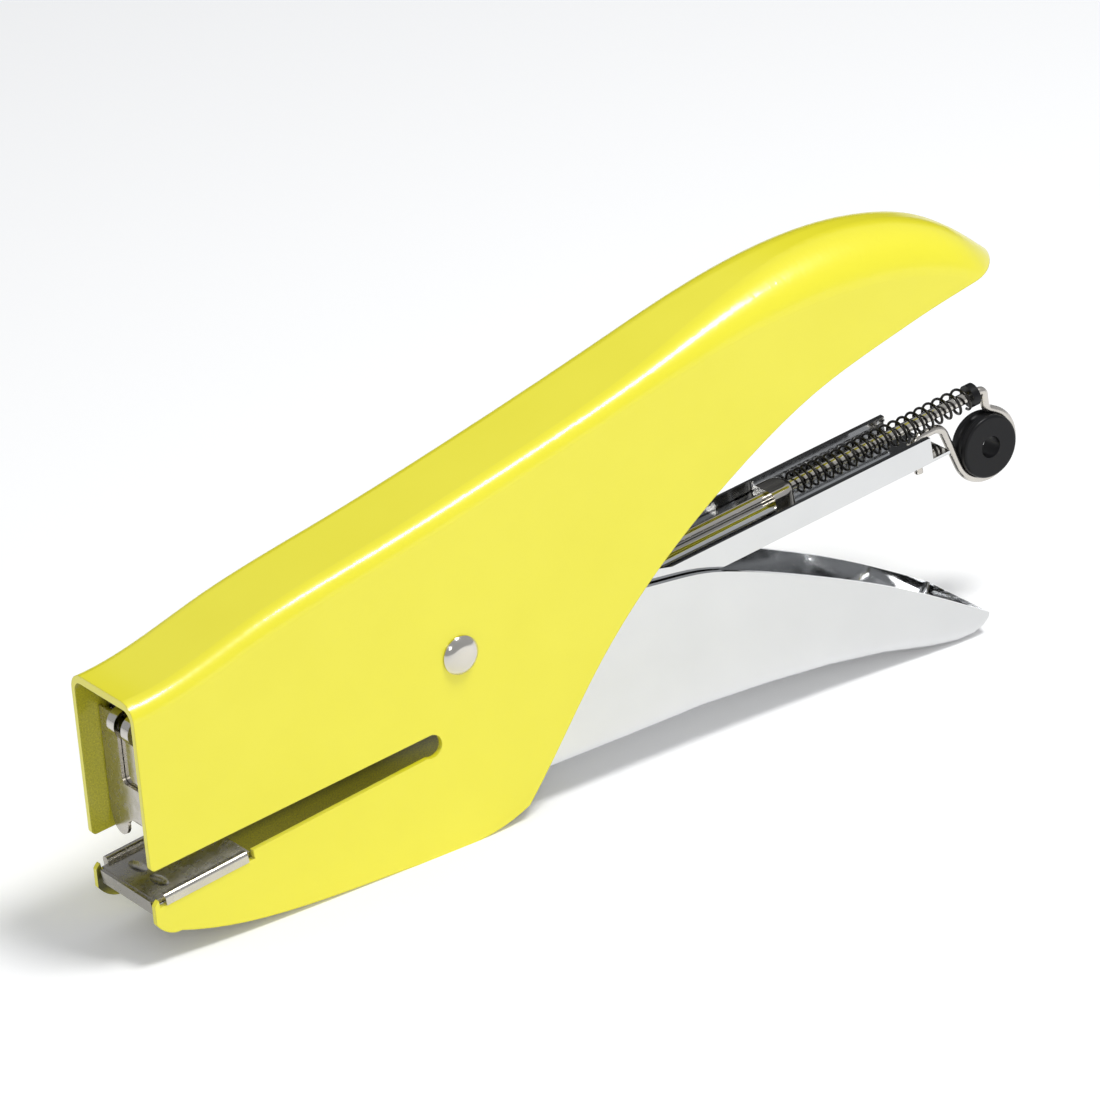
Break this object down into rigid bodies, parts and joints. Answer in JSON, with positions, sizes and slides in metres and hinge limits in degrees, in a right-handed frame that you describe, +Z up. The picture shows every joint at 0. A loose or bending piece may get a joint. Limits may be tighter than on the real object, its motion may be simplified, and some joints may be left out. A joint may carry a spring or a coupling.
{
  "type": "plier stapler",
  "caption": "Hand-squeezed plier stapler: bent steel shell with jaw and anvil, lower lever handle, swinging magazine, sliding driver and pull-out sprung staple pusher.",
  "frame": {"origin": "on the surface the stapler stands on, under the middle of its overall length and width", "axes": "+X from the jaw to the handles, +Y to the far side, +Z up"},
  "size_m": [0.1914, 0.022, 0.0836],
  "materials": {
    "shell_paint": "satin yellow-green enamel",
    "chrome_plate": "bright chrome plating on pressed sheet",
    "nickel_plate": "warm dark nickel plating",
    "bright_steel": "bright drawn steel",
    "spring_steel": "nickel-plated spring wire",
    "black_spring": "blackened spring wire",
    "black_plastic": "black moulded plastic"
  },
  "bodies": {
    "shell": {"body_shell": "shell_paint", "anvil_plate": "nickel_plate", "pivot_rivet": "bright_steel"},
    "lever": {"lower_handle": "chrome_plate", "nose_pin": "bright_steel", "return_spring": "spring_steel"},
    "magazine": {"magazine_channel": "chrome_plate", "pivot_bush": "bright_steel", "staple_guide": "bright_steel", "guide_rivets": "bright_steel", "front_plate": "nickel_plate", "plate_rivets": "nickel_plate"},
    "driver": {"driver_blade": "bright_steel"},
    "loader": {"guide_rod": "bright_steel", "rod_tip": "bright_steel", "rod_cap": "black_plastic", "pusher_spring": "black_spring", "latch_bow": "spring_steel"},
    "pusher": {"pusher": "chrome_plate", "pusher_block": "bright_steel"},
    "wheel": {"pull_wheel": "black_plastic"}
  },
  "joints": [
    {"name": "lever_pivot", "type": "hinge", "parent": "shell", "child": "lever", "pos_m": [-0.03143, 0, 0.0355], "axis": [0, -1, 0], "range_deg": [0, 11.5], "stiffness_Nm_per_rad": 1, "springref_deg": -28.65, "deforming": ["return_spring"]},
    {"name": "magazine_pivot", "type": "hinge", "parent": "shell", "child": "magazine", "pos_m": [-0.03143, 0, 0.0355], "axis": [0, -1, 0], "range_deg": [0, 5.1]},
    {"name": "driver_slide", "type": "slide", "parent": "magazine", "child": "driver", "axis": [0, 0, -1], "range_m": [0, 0.0064]},
    {"name": "loader_slide", "type": "slide", "parent": "magazine", "child": "loader", "axis": [0.9952, 0, 0.0976], "range_m": [0, 0.12], "deforming": ["latch_bow"]},
    {"name": "pusher_slide", "type": "slide", "parent": "loader", "child": "pusher", "axis": [-0.9952, 0, -0.0976], "range_m": [0, 0.092], "deforming": ["pusher_spring"]},
    {"name": "wheel_spin", "type": "hinge", "parent": "loader", "child": "wheel", "pos_m": [0.08889, 0, 0.03182], "axis": [0, -1, 0], "continuous": true}
  ],
  "couplings": [
    {"joint": "magazine_pivot", "follows": "lever_pivot", "ratio": 0.43},
    {"joint": "driver_slide", "follows": "lever_pivot", "m_per_rad": 0.03186}
  ]
}
